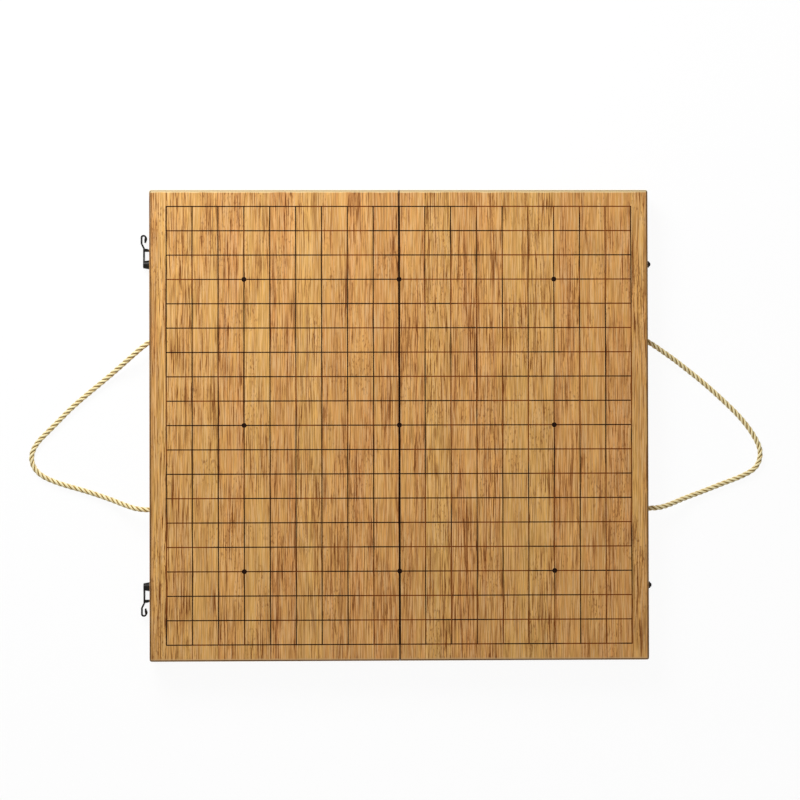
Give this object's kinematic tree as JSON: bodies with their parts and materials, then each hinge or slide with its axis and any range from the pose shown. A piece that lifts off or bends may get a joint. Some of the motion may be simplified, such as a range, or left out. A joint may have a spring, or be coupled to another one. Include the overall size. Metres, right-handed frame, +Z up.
{
  "type": "folding go set",
  "caption": "Folding wooden go board of two hinged trays with an engraved 19 by 19 grid, sliding lids, stones inside, swing hooks and cord handles",
  "frame": {"origin": "under the middle of the fold, on the surface the open board lies on", "axes": "+X runs across the fold to the right half, +Y along the fold to the back, +Z up out of the playing surface"},
  "size_m": [0.6821, 0.432, 0.0291],
  "materials": {
    "bamboo_panel": "laminated bamboo strips under clear satin lacquer, grid burnt in dark brown",
    "bamboo_frame": "bamboo under clear satin lacquer",
    "lid_wood": "thin bamboo board, sanded",
    "hinge_brass": "brass, lightly tarnished",
    "dark_metal": "black antique finish on cast metal, glossy",
    "twisted_cord": "cream and gold cord twisted from three strands",
    "black_stone": "black, satin polish",
    "white_stone": "warm white, satin polish"
  },
  "bodies": {
    "left_half": {"left_playing_panel": "bamboo_panel", "left_outer_wall": "bamboo_frame", "left_middle_wall": "bamboo_frame", "left_front_wall": "bamboo_frame", "left_back_wall": "bamboo_frame", "left_front_divider": "bamboo_frame", "left_back_divider": "bamboo_frame", "front_hinge_left_leaf": "hinge_brass", "front_hinge_pin": "hinge_brass", "back_hinge_left_leaf": "hinge_brass", "back_hinge_pin": "hinge_brass", "left_hinge_screws": "hinge_brass", "front_hook_plate": "dark_metal", "front_hook_screw": "dark_metal", "back_hook_plate": "dark_metal", "back_hook_screw": "dark_metal", "left_rope": "twisted_cord", "left_rope_knots": "twisted_cord", "black_stones": "black_stone"},
    "right_half": {"right_playing_panel": "bamboo_panel", "right_outer_wall": "bamboo_frame", "right_middle_wall": "bamboo_frame", "right_front_wall": "bamboo_frame", "right_back_wall": "bamboo_frame", "right_front_divider": "bamboo_frame", "right_back_divider": "bamboo_frame", "front_hinge_right_leaf": "hinge_brass", "back_hinge_right_leaf": "hinge_brass", "right_hinge_screws": "hinge_brass", "front_stud": "dark_metal", "back_stud": "dark_metal", "right_rope": "twisted_cord", "right_rope_knots": "twisted_cord", "white_stones": "white_stone"},
    "back_hook": {"back_hook": "dark_metal"},
    "front_hook": {"front_hook": "dark_metal"},
    "left_lid": {"left_lid": "lid_wood"},
    "right_lid": {"right_lid": "lid_wood"}
  },
  "joints": [
    {"name": "fold", "type": "hinge", "parent": "left_half", "child": "right_half", "pos_m": [0, 0, 0.001], "axis": [0, 1, 0], "range_deg": [0, 180], "deforming": ["left_rope", "right_rope"]},
    {"name": "back_hook_swing", "type": "hinge", "parent": "left_half", "child": "back_hook", "pos_m": [-0.229, 0.149, 0.00537], "axis": [-1, 0, 0], "range_deg": [-90, 90]},
    {"name": "front_hook_swing", "type": "hinge", "parent": "left_half", "child": "front_hook", "pos_m": [-0.229, -0.149, 0.00537], "axis": [1, 0, 0], "range_deg": [-90, 90]},
    {"name": "left_lid_slide", "type": "slide", "parent": "left_half", "child": "left_lid", "axis": [0, 1, 0], "range_m": [0, 0.131]},
    {"name": "right_lid_slide", "type": "slide", "parent": "right_half", "child": "right_lid", "axis": [0, 1, 0], "range_m": [0, 0.131]}
  ]
}
